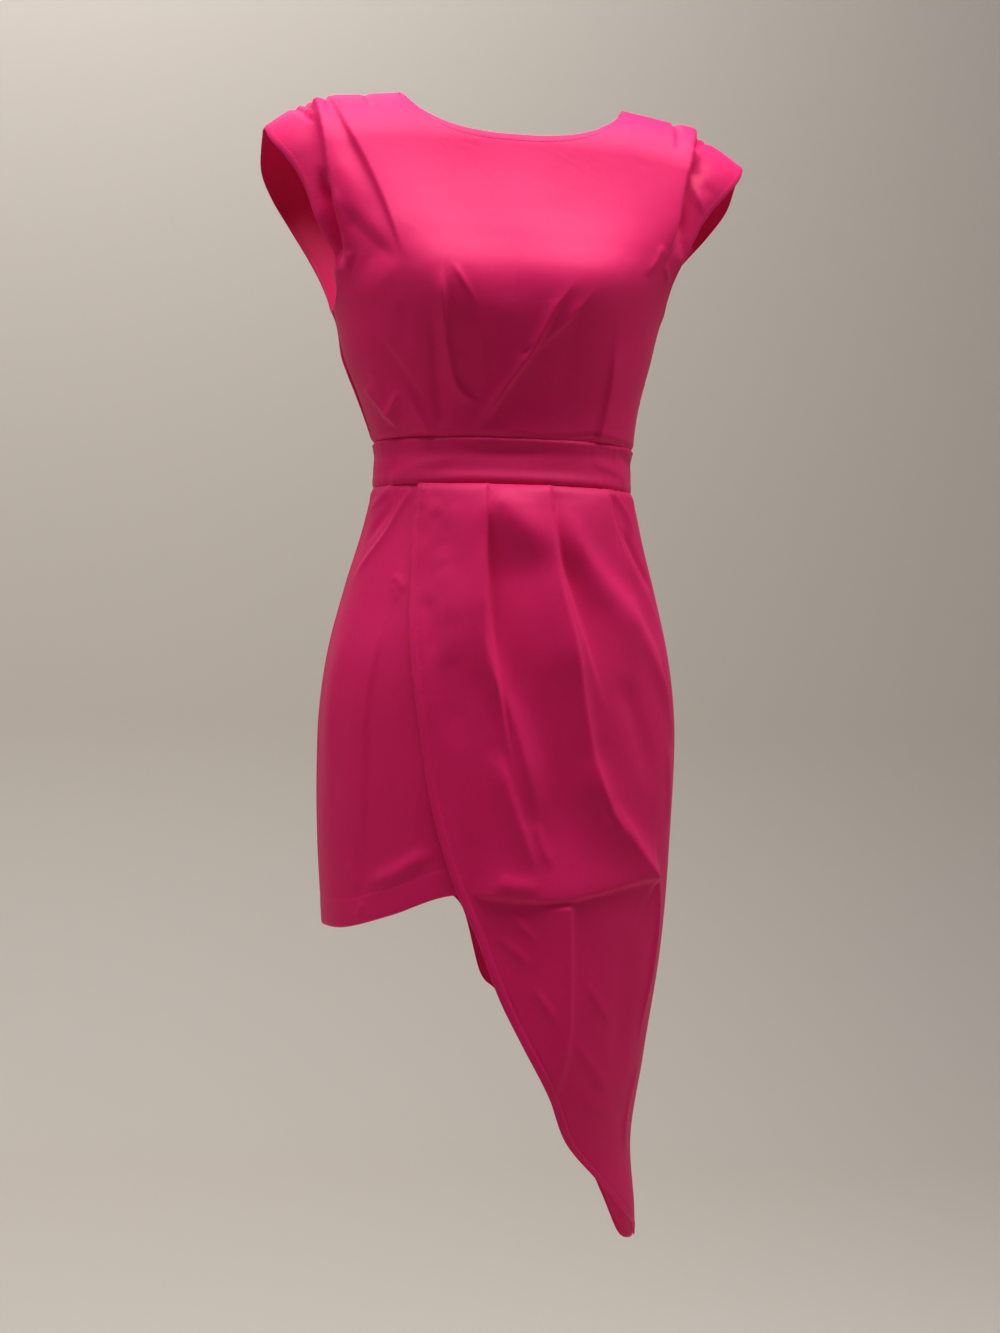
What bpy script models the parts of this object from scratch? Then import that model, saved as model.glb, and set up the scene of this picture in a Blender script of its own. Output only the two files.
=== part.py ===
"""A pleated backless dress with cap shoulders and a wrapped, slanting skirt, worn form, size small.

Metres, +Z up, the front faces -Y. The origin lies midway between the two neck points, on the line
of the shoulder seams, where the shoulders that wear the dress carry it. Every piece is an open sheet
lofted through sections of one general figure, and solidified inwards. Front and back pieces part at
the plane Y = 0, half a seam gap each.
"""

import math

import bpy
import numpy as np

CLOTH = 0.0012
SEAM_GAP = 0.0006

BAND_TOP = -0.327
BAND_BOTTOM = -0.370
UNDERARM = -0.205
NECK_HALF_WIDTH = 0.107
SHOULDER_ROLL = 0.055
SHOULDER_TILT = 0.030
LEFT_CAP_PUFF = 0.007
LEFT_CAP_PUFF_OUT = -0.200
LEFT_CAP_PUFF_SPREAD = 0.028
SHOULDER_SQUARENESS = 2.4
HIP_SQUARENESS = 2.15

# The torso above the waistband. The half widths run on past the armholes as if they were filled.
TORSO_COLUMNS = ("height", "front_half_width", "back_half_width", "front_depth", "back_depth")
TORSO = (
    (-0.327, 0.1236, 0.1236, 0.0970, 0.0850),
    (-0.290, 0.1330, 0.1330, 0.1030, 0.0900),
    (-0.250, 0.1460, 0.1460, 0.1170, 0.0960),
    (-0.205, 0.1570, 0.1570, 0.1280, 0.1000),
    (-0.175, 0.1720, 0.1800, 0.1210, 0.1020),
    (-0.145, 0.1950, 0.2060, 0.1090, 0.1030),
    (-0.115, 0.2150, 0.2300, 0.0970, 0.1010),
    (-0.080, 0.2350, 0.2400, 0.0840, 0.0970),
    (-0.045, 0.2460, 0.2430, 0.0730, 0.0880),
    (0.010, 0.2480, 0.2450, 0.0600, 0.0700),
)

# The waistband and the skirt below it, down to the tip of the long side.
SKIRT_COLUMNS = ("height", "half_width", "front_depth", "back_depth")
SKIRT = (
    (-1.085, 0.1430, 0.0860, 0.0800),
    (-1.050, 0.1415, 0.0920, 0.0850),
    (-0.980, 0.1350, 0.1010, 0.0900),
    (-0.900, 0.1465, 0.1080, 0.0960),
    (-0.820, 0.1580, 0.1120, 0.1020),
    (-0.760, 0.1635, 0.1140, 0.1070),
    (-0.700, 0.1675, 0.1160, 0.1140),
    (-0.640, 0.1695, 0.1180, 0.1230),
    (-0.580, 0.1685, 0.1190, 0.1300),
    (-0.520, 0.1610, 0.1180, 0.1280),
    (-0.460, 0.1460, 0.1120, 0.1160),
    (-0.405, 0.1300, 0.1030, 0.1010),
    (-0.370, 0.1232, 0.0970, 0.0880),
    (-0.327, 0.1236, 0.0970, 0.0850),
)

# The shoulder seam from the neck point out to the tip of the cap.
SHOULDER_COLUMNS = ("out", "height")
SHOULDER = ((0.107, 0.000), (0.140, -0.006), (0.177, -0.017), (0.210, -0.033), (0.230, -0.045))

# The armhole from the underarm up to the tip of the cap, front edge and back edge.
ARMHOLE_COLUMNS = ("height", "front_out", "back_out")
ARMHOLE = (
    (-0.205, 0.1570, 0.1570),
    (-0.193, 0.1565, 0.1580),
    (-0.180, 0.1590, 0.1620),
    (-0.153, 0.1690, 0.1760),
    (-0.130, 0.1790, 0.1930),
    (-0.104, 0.1910, 0.2130),
    (-0.080, 0.2090, 0.2265),
    (-0.060, 0.2240, 0.2295),
    (-0.045, 0.2300, 0.2300),
)

# The front neckline from the neck point in to the centre.
NECKLINE_COLUMNS = ("out", "height")
NECKLINE = (
    (0.000, -0.048),
    (0.030, -0.047),
    (0.057, -0.0415),
    (0.079, -0.030),
    (0.097, -0.014),
    (0.107, 0.000),
)

# The open back's edge from the waistband up to the neck point.
BACK_EDGE_COLUMNS = ("height", "out")
BACK_EDGE = (
    (-0.327, 0.006),
    (-0.300, 0.032),
    (-0.250, 0.062),
    (-0.180, 0.085),
    (-0.100, 0.099),
    (0.000, 0.107),
)

# Knife pleats that run from the shoulder seam down over the chest: metres out from the centre at the
# seam and at the pleat's foot, the height of the foot, and how far the folded edge stands out.
SHOULDER_PLEAT_COLUMNS = ("seam_out", "foot_out", "foot_height", "rise")
SHOULDER_PLEATS = ((0.158, 0.104, -0.178, 0.0075), (0.186, 0.160, -0.165, 0.0060))
PLEAT_FLANK_OUT = 0.0035
PLEAT_FLANK_IN = 0.024

CUP_OUT = 0.078
CUP_HEIGHT = -0.195
CUP_RISE = 0.009
CUP_SPREAD_OUT = 0.050
CUP_SPREAD_UP = 0.052

# The bodice hangs a little to the left of the waist and the neck points.
LEAN_COLUMNS = ("height", "shift")
LEAN = (
    (-0.327, 0.0000),
    (-0.290, -0.0045),
    (-0.250, -0.0080),
    (-0.215, -0.0085),
    (-0.145, -0.0100),
    (-0.110, -0.0095),
    (-0.080, -0.0070),
    (-0.045, -0.0040),
    (0.010, 0.0000),
)

# Angles run round the figure from the centre front, positive to the right as the front is seen.
SHORT_HEM_COLUMNS = ("angle", "height")
SHORT_HEM = (
    (-90, -0.781),
    (-62, -0.780),
    (-40, -0.766),
    (-20, -0.747),
    (10, -0.750),
    (32, -0.742),
    (52, -0.732),
    (88, -0.734),
)
LONG_HEM_COLUMNS = ("angle", "height")
LONG_HEM = (
    (90, -1.074),
    (99, -1.081),
    (111, -1.077),
    (121, -1.046),
    (135, -0.990),
    (150, -0.945),
    (162, -0.903),
    (173, -0.853),
    (179, -0.835),
    (185, -0.775),
    (190, -0.758),
    (215, -0.760),
    (245, -0.771),
    (270, -0.781),
)

# The wrap's free edge: down from the waistband, then slanting away as the hem to the tip.
WRAP_EDGE_COLUMNS = ("height", "angle")
WRAP_EDGE = (
    (-1.0700, 85.0),
    (-1.0525, 66.0),
    (-1.0290, 51.0),
    (-1.0060, 39.5),
    (-0.9790, 27.5),
    (-0.9325, 17.0),
    (-0.8825, 5.5),
    (-0.8420, -2.5),
    (-0.8150, -6.5),
    (-0.7850, -10.5),
    (-0.7400, -17.5),
    (-0.6650, -25.5),
    (-0.5750, -31.5),
    (-0.5000, -37.5),
    (-0.4600, -40.5),
    (-0.4120, -44.5),
    (-0.3700, -45.0),
)
WRAP_LIFT = 0.0028
WRAP_SEAM_ANGLE = 90.0
WRAP_JOIN_SPREAD = 24.0
WRAP_TIP = -1.0740
UNDER_PANEL_RIGHT = 88.0
UNDER_TUCK = 0.0019
UNDER_TUCK_START = 56.0
UNDER_TUCK_SPREAD = 28.0

# The wrap's knife pleats, as parts of the way from its free edge to the side seam, at three heights.
# Each one's folded edge stands proud and drops to the start of the next.
WRAP_PLEAT_HEIGHTS = (-0.740, -0.620, -0.370)
WRAP_PLEAT_COLUMNS = ("at_turn", "at_hip", "at_waist", "rise")
WRAP_PLEATS = ((0.250, 0.245, 0.235, 0.0060), (0.660, 0.455, 0.435, 0.0070), (0.860, 0.800, 0.655, 0.0055))
WRAP_HEAD_PUFF = 0.0030
WRAP_HEAD_LENGTH = 0.022
PLEAT_STEP = 0.0030
PLEAT_SPREAD = 0.022
PLEAT_FADE_TOP = -0.480
PLEAT_FADE_END = -0.860
METRES_PER_DEGREE = 0.0023

SEAM_ROWS = 6
UNDERARM_PART = 0.40
ARMHOLE_ROWS = 12
NECK_COLUMNS = 18
SHOULDER_COLUMNS_EACH = 7
BACK_COLUMNS = 9
WRAP_ROWS = 24
WRAP_ROW_BIAS = 1.12
PLEAT_COLUMNS = 6

PINK = (0.75, 0.008, 0.12, 1.0)
PINK_SHADE = (0.69, 0.007, 0.11, 1.0)
SATIN_ROUGHNESS = 0.56


def column(rows, names, name):
    """One named column of a table, as an array."""
    return np.array([row[names.index(name)] for row in rows])


def smooth(along, values, at):
    """A cubic curve through a table's rows, read at the given places. The rows run upwards."""
    slopes = np.gradient(values, along)
    at = np.clip(at, along[0], along[-1])
    k = np.clip(np.searchsorted(along, at) - 1, 0, len(along) - 2)
    step = along[k + 1] - along[k]
    t = (at - along[k]) / step
    ends = values[k] * (1 + 2 * t) * (1 - t) ** 2 + values[k + 1] * t**2 * (3 - 2 * t)
    return ends + step * (slopes[k] * t * (1 - t) ** 2 - slopes[k + 1] * t**2 * (1 - t))


def read(rows, names, along, wanted, at):
    return smooth(column(rows, names, along), column(rows, names, wanted), at)


def ease(t):
    t = np.clip(t, 0.0, 1.0)
    return t * t * (3 - 2 * t)


def evenly(count):
    return np.linspace(0.0, 1.0, count + 1)


def shoulder_height(out):
    out = np.abs(out)
    return np.where(out < NECK_HALF_WIDTH, 0.0, read(SHOULDER, SHOULDER_COLUMNS, "out", "height", out))


def cups(out, height):
    near = ((np.abs(out) - CUP_OUT) / CUP_SPREAD_OUT) ** 2 + ((height - CUP_HEIGHT) / CUP_SPREAD_UP) ** 2
    return CUP_RISE * np.exp(-near)


def shoulder_pleats(out, height):
    """How far the shoulder's knife pleats stand out: a slow rise from the neck side, then a steep drop."""
    side = np.abs(out)
    total = np.zeros_like(side)
    for row in SHOULDER_PLEATS:
        pleat = dict(zip(SHOULDER_PLEAT_COLUMNS, row))
        seam_height = read(SHOULDER, SHOULDER_COLUMNS, "out", "height", pleat["seam_out"])
        down = (seam_height - height) / (seam_height - pleat["foot_height"])
        line = pleat["seam_out"] + (pleat["foot_out"] - pleat["seam_out"]) * np.clip(down, 0, 1) ** 1.3
        past = side - line
        profile = np.where(past < 0, ease(1 + past / PLEAT_FLANK_IN), ease(1 - past / PLEAT_FLANK_OUT))
        total += pleat["rise"] * profile * ease((1 - down) / 0.55)
    return total


def torso(part, height, half):
    """Points of the torso at parts of the half width, for the front or the back half."""
    half_width = read(TORSO, TORSO_COLUMNS, "height", half + "_half_width", height)
    depth = read(TORSO, TORSO_COLUMNS, "height", half + "_depth", height)
    out = part * half_width
    drop = np.clip((shoulder_height(out) - height) / SHOULDER_ROLL, 0, 1)
    roll = np.sqrt(1 - (1 - drop) ** 2)
    squareness = HIP_SQUARENESS + (SHOULDER_SQUARENESS - HIP_SQUARENESS) * ease((height - BAND_TOP) / 0.08)
    deep = depth * np.sqrt(np.clip(1 - np.abs(part) ** squareness, 0, 1)) * roll
    up = height
    if half == "front":
        deep = deep + cups(out, height) * roll * (1 - np.abs(part) ** 6)
        fold = shoulder_pleats(out, height) * (1 - np.clip(np.abs(part), 0, 1) ** 12)
        deep = deep + fold * roll
        up = height + fold * (1 - roll)
    forward = -1 if half == "front" else 1
    lean = read(LEAN, LEAN_COLUMNS, "height", "shift", height)
    tilt = SHOULDER_TILT * out * ease((height - UNDERARM) / 0.10)
    puff = LEFT_CAP_PUFF * np.exp(-(((out - LEFT_CAP_PUFF_OUT) / LEFT_CAP_PUFF_SPREAD) ** 2))
    puff = puff * ease((height - UNDERARM) / 0.16)
    return np.stack([out + lean, forward * deep, up - tilt + puff], axis=-1)


def skirt(angle, height, lift=0.0):
    """Points of the waistband or skirt at an angle round the figure, lifted off its surface."""
    half_width = read(SKIRT, SKIRT_COLUMNS, "height", "half_width", height) + lift
    turn = np.radians(angle)
    front = read(SKIRT, SKIRT_COLUMNS, "height", "front_depth", height)
    back = read(SKIRT, SKIRT_COLUMNS, "height", "back_depth", height)
    depth = np.where(np.cos(turn) >= 0, front, back) + lift
    across = np.sin(turn)
    forward = -np.sign(np.cos(turn))
    away = np.sqrt(np.clip(1 - np.abs(across) ** HIP_SQUARENESS, 0, 1))
    return np.stack([half_width * across, forward * depth * away, height + 0 * across], axis=-1)


def patch(bottom, top, left, right):
    """A Coons patch between four edges of plane points that meet at the corners. Rows run upwards."""
    s = np.linspace(0, 1, len(bottom))[None, :, None]
    v = bodice_rows()[:, None, None]
    ruled = (1 - v) * bottom[None] + v * top[None] + (1 - s) * left[:, None] + s * right[:, None]
    corners = (1 - v) * ((1 - s) * bottom[0] + s * bottom[-1]) + v * ((1 - s) * top[0] + s * top[-1])
    return ruled - corners


def cloth_material(name, colour):
    material = bpy.data.materials.new(name)
    material.use_nodes = True
    shader = material.node_tree.nodes["Principled BSDF"]
    shader.inputs["Base Color"].default_value = colour
    shader.inputs["Roughness"].default_value = SATIN_ROUGHNESS
    shader.inputs["Metallic"].default_value = 0.0
    return material


def sew(name, points, side, colour, collection):
    """Makes a cloth piece of a grid of points: rows upwards, columns rightwards as seen from outside.

    side is -1 for a front piece and 1 for a back piece, which moves it clear of the other at the seam.
    """
    points = points + np.array([0.0, side * SEAM_GAP / 2, 0.0])
    rows, columns = points.shape[:2]
    index = np.arange(rows * columns).reshape(rows, columns)
    corners = np.stack([index[:-1, :-1], index[:-1, 1:], index[1:, 1:], index[1:, :-1]], axis=-1)
    mesh = bpy.data.meshes.new(name)
    mesh.from_pydata(points.reshape(-1, 3).tolist(), [], corners.reshape(-1, 4).tolist())
    mesh.materials.append(cloth_material(name + "_cloth", colour))
    mesh.shade_smooth()
    mesh.set_sharp_from_angle(angle=math.radians(50))
    piece = bpy.data.objects.new(name, mesh)
    collection.objects.link(piece)
    thick = piece.modifiers.new("cloth thickness", "SOLIDIFY")
    thick.thickness = CLOTH
    thick.offset = -1.0
    return piece


def plane_points(out, height):
    return np.stack([out + 0 * height, height + 0 * out], axis=-1)


def bodice_rows():
    """Parts of the way up the bodice, closer together at the underarm and over the shoulder."""
    seam = UNDERARM_PART * evenly(SEAM_ROWS)
    hole = UNDERARM_PART + (1 - UNDERARM_PART) * (1 - (1 - evenly(ARMHOLE_ROWS) ** 1.3) ** 2.1)
    return np.concatenate([seam, hole[1:]])


def side_and_armhole(half):
    """The side seam up to the underarm, then the armhole's edge to the tip of the cap."""
    foot = BAND_TOP + SEAM_GAP / 2
    seam = foot + (UNDERARM - foot) * bodice_rows()[: SEAM_ROWS + 1] / UNDERARM_PART
    above = (bodice_rows()[SEAM_ROWS + 1 :] - UNDERARM_PART) / (1 - UNDERARM_PART)
    hole = UNDERARM + (ARMHOLE[-1][0] - UNDERARM) * above
    seam_out = read(TORSO, TORSO_COLUMNS, "height", half + "_half_width", seam)
    hole_out = read(ARMHOLE, ARMHOLE_COLUMNS, "height", half + "_out", hole)
    return plane_points(np.concatenate([seam_out, hole_out]), np.concatenate([seam, hole]))


def shoulder_seam(columns):
    """From the neck point out to the tip of the cap."""
    out = NECK_HALF_WIDTH + (SHOULDER[-1][0] - NECK_HALF_WIDTH) * evenly(columns)
    return plane_points(out, read(SHOULDER, SHOULDER_COLUMNS, "out", "height", out))


def mirrored(edge):
    return edge * np.array([-1.0, 1.0])


def on_torso(grid, half):
    out, height = grid[..., 0], grid[..., 1]
    half_width = read(TORSO, TORSO_COLUMNS, "height", half + "_half_width", height)
    return torso(np.clip(out / half_width, -1, 1), height, half)


def front_bodice():
    right = side_and_armhole("front")
    width = right[0][0]
    across = -np.cos(np.pi * evenly(NECK_COLUMNS + 2 * SHOULDER_COLUMNS_EACH))
    bottom = plane_points(width * across, np.full(len(across), right[0][1]))
    seam = shoulder_seam(SHOULDER_COLUMNS_EACH)
    neck_out = NECK_HALF_WIDTH * np.sin(np.pi * (evenly(NECK_COLUMNS) - 0.5))
    neck = plane_points(neck_out, read(NECKLINE, NECKLINE_COLUMNS, "out", "height", np.abs(neck_out)))
    top = np.concatenate([mirrored(seam)[:0:-1], neck, seam[1:]])
    return on_torso(patch(bottom, top, mirrored(right), right), "front")


def back_bodice(side):
    """One half of the back: side is 1 for the right one and -1 for the left one."""
    outer = side_and_armhole("back")
    height = outer[0][1] * (1 - bodice_rows())
    inner = plane_points(read(BACK_EDGE, BACK_EDGE_COLUMNS, "height", "out", height), height)
    seam = shoulder_seam(BACK_COLUMNS)[::-1]
    reach = inner[0][0] + (outer[0][0] - inner[0][0]) * np.cos(np.pi / 2 * evenly(BACK_COLUMNS))
    bottom = plane_points(reach, np.full(len(reach), outer[0][1]))
    grid = patch(bottom, seam, outer, inner)
    if side < 0:
        grid = mirrored(grid)[:, ::-1]
    return on_torso(grid, "back")


def around(start, end, hem, top, columns, rows, lift):
    """A skirt panel or waistband half between two angles, from its hem up to its top seam."""
    angle = start + (end - start) * evenly(columns)[None, :]
    low = hem(angle)
    height = low + (top - low) * evenly(rows)[:, None]
    return skirt(angle + 0 * height, height, lift(angle, height))


def no_lift(angle, height):
    return 0 * height


def under_lift(angle, height):
    """The short panel goes inside the wrap where both are sewn into the right side seam."""
    return -UNDER_TUCK * ease((angle - UNDER_TUCK_START) / UNDER_TUCK_SPREAD)


def wrap():
    """The pleated wrap: level rows from its free edge to the side seam, columns along the pleats."""
    top = BAND_BOTTOM - SEAM_GAP / 2
    height = top + (WRAP_TIP - top) * (1 - evenly(WRAP_ROWS)) ** WRAP_ROW_BIAS
    edge = read(WRAP_EDGE, WRAP_EDGE_COLUMNS, "height", "angle", height)
    down = top - height
    spread = ease((PLEAT_FADE_TOP - height) / (PLEAT_FADE_TOP - PLEAT_FADE_END))
    stand = (0.55 + 0.45 * ease(down / WRAP_HEAD_LENGTH)) * (1 - 0.72 * spread)
    head = WRAP_HEAD_PUFF * np.sin(np.pi * np.clip(down / (2.2 * WRAP_HEAD_LENGTH), 0, 1))
    parts, lifts = [], []
    start = np.zeros_like(height)
    side_seam = (1.0, 1.0, 1.0, 0.0)
    for row in (*WRAP_PLEATS, side_seam):
        pleat = dict(zip(WRAP_PLEAT_COLUMNS, row))
        rise = pleat["rise"]
        folded = rise > 0
        places = np.array([pleat["at_turn"], pleat["at_hip"], pleat["at_waist"]])
        fold = smooth(np.array(WRAP_PLEAT_HEIGHTS), places, height)
        for step in evenly(PLEAT_COLUMNS):
            parts.append(start + (fold - start) * step)
            lifts.append(stand * rise * step**1.5 + head * np.sin(np.pi * step) * folded)
        width = METRES_PER_DEGREE * (WRAP_SEAM_ANGLE - edge)
        start = fold + (PLEAT_STEP + PLEAT_SPREAD * spread) / width
        start = np.minimum(start, fold + 0.5 * (1 - fold))
    part = np.stack(parts, axis=1)
    lift = np.stack(lifts, axis=1)
    angle = edge[:, None] + (WRAP_SEAM_ANGLE - edge[:, None]) * part
    joined = ease((WRAP_SEAM_ANGLE - angle) / WRAP_JOIN_SPREAD)
    return skirt(angle, height[:, None] + 0 * angle, (WRAP_LIFT + lift) * joined)


def short_hem(angle):
    return read(SHORT_HEM, SHORT_HEM_COLUMNS, "angle", "height", angle)


def long_hem(angle):
    return read(LONG_HEM, LONG_HEM_COLUMNS, "angle", "height", angle)


def band_foot(angle):
    return BAND_BOTTOM + SEAM_GAP / 2 + 0 * angle


def build():
    for item in list(bpy.data.objects):
        bpy.data.objects.remove(item, do_unlink=True)
    collection = bpy.data.collections.new("pleated_backless_dress")
    bpy.context.scene.collection.children.link(collection)
    band_top = BAND_TOP - SEAM_GAP / 2
    skirt_top = BAND_BOTTOM - SEAM_GAP / 2

    sew("bodice_front", front_bodice(), -1, PINK, collection)
    sew("bodice_back_left", back_bodice(-1), 1, PINK_SHADE, collection)
    sew("bodice_back_right", back_bodice(1), 1, PINK_SHADE, collection)
    front_band = around(-90.0, 90.0, band_foot, band_top, 24, 3, no_lift)
    back_band = around(90.0, 270.0, band_foot, band_top, 24, 3, no_lift)
    sew("waistband_front", front_band, -1, PINK, collection)
    sew("waistband_back", back_band, 1, PINK_SHADE, collection)
    under = around(-90.0, UNDER_PANEL_RIGHT, short_hem, skirt_top, 24, 12, under_lift)
    sew("skirt_front_under", under, -1, PINK, collection)
    sew("skirt_front_overlay", wrap(), -1, PINK, collection)
    behind = around(90.0, 270.0, long_hem, skirt_top, 30, 15, no_lift)
    sew("skirt_back", behind, 1, PINK_SHADE, collection)


build()
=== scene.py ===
"""A pleated backless dress in pink satin crepe, in the form it takes when worn, over a plain pale floor.

Metres, +Z up, the front faces -Y, the origin midway between the two neck points.
"""

import math

import bpy
import numpy as np
from mathutils import Matrix, Vector


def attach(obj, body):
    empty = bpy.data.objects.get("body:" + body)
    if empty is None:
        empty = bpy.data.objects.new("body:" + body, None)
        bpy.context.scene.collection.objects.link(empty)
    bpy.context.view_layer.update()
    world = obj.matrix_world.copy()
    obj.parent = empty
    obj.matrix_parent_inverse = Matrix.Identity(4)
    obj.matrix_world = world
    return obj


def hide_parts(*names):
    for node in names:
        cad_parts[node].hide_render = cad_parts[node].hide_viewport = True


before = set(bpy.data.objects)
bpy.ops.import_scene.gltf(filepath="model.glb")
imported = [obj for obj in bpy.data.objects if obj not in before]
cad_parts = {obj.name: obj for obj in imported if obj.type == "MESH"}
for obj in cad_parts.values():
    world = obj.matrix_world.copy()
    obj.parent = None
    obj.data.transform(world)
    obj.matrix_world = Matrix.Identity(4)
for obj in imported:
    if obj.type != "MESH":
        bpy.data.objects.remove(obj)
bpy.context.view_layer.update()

# The front bodice, cut in one with the cap shoulders: satin crepe, hung from the shoulder seams, eased
# over the bust, and folded into soft knife pleats at each shoulder and a short pleat on each side of
# the waist. Neck and armholes end in a narrow turned edge.

BAND_TOP = -0.327
BAND_BOTTOM = -0.370
UNDERARM = -0.205
NECK_HALF_WIDTH = 0.107
WAIST_HALF_WIDTH = 0.1236
# Where the cap ends: how far out, and how high.
CAP_OUT = 0.230
CAP_HEIGHT = -0.045
# The bust's fullest place, how far it spreads, and how far it stands out.
CUP_OUT = 0.078
CUP_HEIGHT = -0.187
CUP_SPREAD = 0.050
CUP_RISE = 0.009
# The share of the rows that lies below the underarm, where front and back are sewn together.
SEAMED_SHARE = 0.4
NECK_HEM = 0.008
ARMHOLE_HEM = 0.007
CLOTH = 0.0009
# Each level of the dress is an oval, a little squarer than an ellipse, whose power would be 2.
OVAL_POWER = 2.15

bodice_shape = {
    "height": (-0.327, -0.290, -0.250, -0.205, -0.175, -0.145, -0.115, -0.080, -0.045, 0.010),
    "front_width": (0.1236, 0.1330, 0.1460, 0.1570, 0.1720, 0.1950, 0.2150, 0.2350, 0.2460, 0.2480),
    "back_width": (0.1236, 0.1330, 0.1460, 0.1570, 0.1800, 0.2060, 0.2300, 0.2400, 0.2430, 0.2450),
    "front_depth": (0.0970, 0.1030, 0.1150, 0.1252, 0.1240, 0.1118, 0.0982, 0.0840, 0.0730, 0.0600),
    "back_depth": (0.0850, 0.0900, 0.0960, 0.1000, 0.1020, 0.1030, 0.1010, 0.0970, 0.0880, 0.0700),
}
leaning = {
    "height": (-0.327, -0.290, -0.250, -0.215, -0.145, -0.110, -0.080, -0.045, 0.010),
    "shift": (0.0, -0.0045, -0.0080, -0.0085, -0.0100, -0.0095, -0.0070, -0.0040, 0.0),
}
shoulder_line = {
    "out": (0.107, 0.140, 0.177, 0.210, 0.230),
    "height": (0.0, -0.006, -0.017, -0.033, -0.045),
}
armhole = {
    "height": (-0.205, -0.193, -0.180, -0.153, -0.130, -0.104, -0.080, -0.060, -0.045),
    "front": (0.1570, 0.1565, 0.1590, 0.1690, 0.1790, 0.1910, 0.2090, 0.2240, 0.2300),
    "back": (0.1570, 0.1580, 0.1620, 0.1760, 0.1930, 0.2130, 0.2265, 0.2295, 0.2300),
}
neckline = {
    "out": (0.000, 0.030, 0.057, 0.079, 0.097, 0.107),
    "height": (-0.0435, -0.043, -0.0385, -0.029, -0.0145, 0.0),
}


def read(table, along, wanted, at):
    """A cubic curve through a table's columns. The column that it runs along goes upwards."""
    x = np.array(table[along], dtype=float)
    y = np.array(table[wanted], dtype=float)
    slope = np.gradient(y, x)
    at = np.clip(at, x[0], x[-1])
    k = np.clip(np.searchsorted(x, at) - 1, 0, len(x) - 2)
    step = x[k + 1] - x[k]
    t = (at - x[k]) / step
    ends = y[k] * (1 + 2 * t) * (1 - t) ** 2 + y[k + 1] * t**2 * (3 - 2 * t)
    return ends + step * (slope[k] * t * (1 - t) ** 2 - slope[k + 1] * t**2 * (1 - t))


def ease(t):
    """A smooth step: 0 up to t = 0, and 1 from t = 1."""
    t = np.clip(t, 0.0, 1.0)
    return t * t * (3 - 2 * t)


def evenly(count):
    """The ends of count equal steps from 0 to 1."""
    return np.linspace(0.0, 1.0, count + 1)


def on_bodice(plane, half):
    """Points of the worn bodice over a grid of plane points (across, height)."""
    out, height = plane[..., 0], plane[..., 1]
    part = np.clip(out / read(bodice_shape, "height", half + "_width", height), -1, 1)
    side = np.abs(out)
    # The cloth rolls over the shoulder in its last 55 mm below the seam.
    seam = np.where(side < NECK_HALF_WIDTH, 0.0, read(shoulder_line, "out", "height", side))
    roll = np.sqrt(1 - (1 - np.clip((seam - height) / 0.055, 0, 1)) ** 2)
    # The ovals are squarer from the ribs up than at the waist.
    oval = np.sqrt(1 - np.abs(part) ** (OVAL_POWER + 0.25 * ease((height - BAND_TOP) / 0.08)))
    deep = read(bodice_shape, "height", half + "_depth", height) * oval * roll
    forward = 1
    if half == "front":
        forward = -1
        over = ((side - CUP_OUT) / CUP_SPREAD) ** 2
        cup = CUP_RISE * np.exp(-over - ((height - CUP_HEIGHT) / CUP_SPREAD) ** 2)
        deep = deep + cup * roll * (1 - np.abs(part) ** 6)
    # The left cap puffs up, and the shoulders slope down to the right by 30 mm a metre.
    carried = ease((height - UNDERARM) / 0.16)
    puff = 0.007 * np.exp(-(((out + 0.200) / 0.028) ** 2)) * carried
    tilt = 0.030 * out * ease((height - UNDERARM) / 0.10)
    shift = read(leaning, "height", "shift", height)
    return np.stack([out + shift, forward * deep, height - tilt + puff], axis=-1)


def patch(bottom, top, left, right, rows):
    """A Coons patch between four edges that meet at the corners, at parts of the way up it."""
    s = np.linspace(0, 1, len(bottom))[None, :, None]
    v = rows[:, None, None]
    ruled = (1 - v) * bottom[None] + v * top[None] + (1 - s) * left[:, None] + s * right[:, None]
    corners = (1 - v) * ((1 - s) * bottom[0] + s * bottom[-1]) + v * ((1 - s) * top[0] + s * top[-1])
    return ruled - corners


def plane_points(out, height):
    """Points (across, height). Either of the two may be one number."""
    return np.stack([out + 0 * height, height + 0 * out], axis=-1)


def mirrored(edge):
    """The same points on the other side of the centre line."""
    return edge * np.array([-1.0, 1.0])


def bodice_rows(below, above):
    """Parts of the way up, closer together at the underarm and where the cloth rolls over the shoulder."""
    hole = SEAMED_SHARE + (1 - SEAMED_SHARE) * (1 - (1 - evenly(above) ** 1.2) ** 1.6)
    return np.concatenate([SEAMED_SHARE * evenly(below), hole[1:]])


def bodice_side(rows, half):
    """The side seam up to the underarm, then the armhole's edge to the tip of the cap."""
    seam = rows[rows <= SEAMED_SHARE]
    hole = rows[rows > SEAMED_SHARE]
    low = BAND_TOP + (UNDERARM - BAND_TOP) * seam / SEAMED_SHARE
    high = UNDERARM + (CAP_HEIGHT - UNDERARM) * (hole - SEAMED_SHARE) / (1 - SEAMED_SHARE)
    low_out = read(bodice_shape, "height", half + "_width", low)
    high_out = read(armhole, "height", half, high)
    return plane_points(np.concatenate([low_out, high_out]), np.concatenate([low, high]))


def shoulder_seam(columns):
    out = NECK_HALF_WIDTH + (CAP_OUT - NECK_HALF_WIDTH) * evenly(columns)
    return plane_points(out, read(shoulder_line, "out", "height", out))


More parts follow.
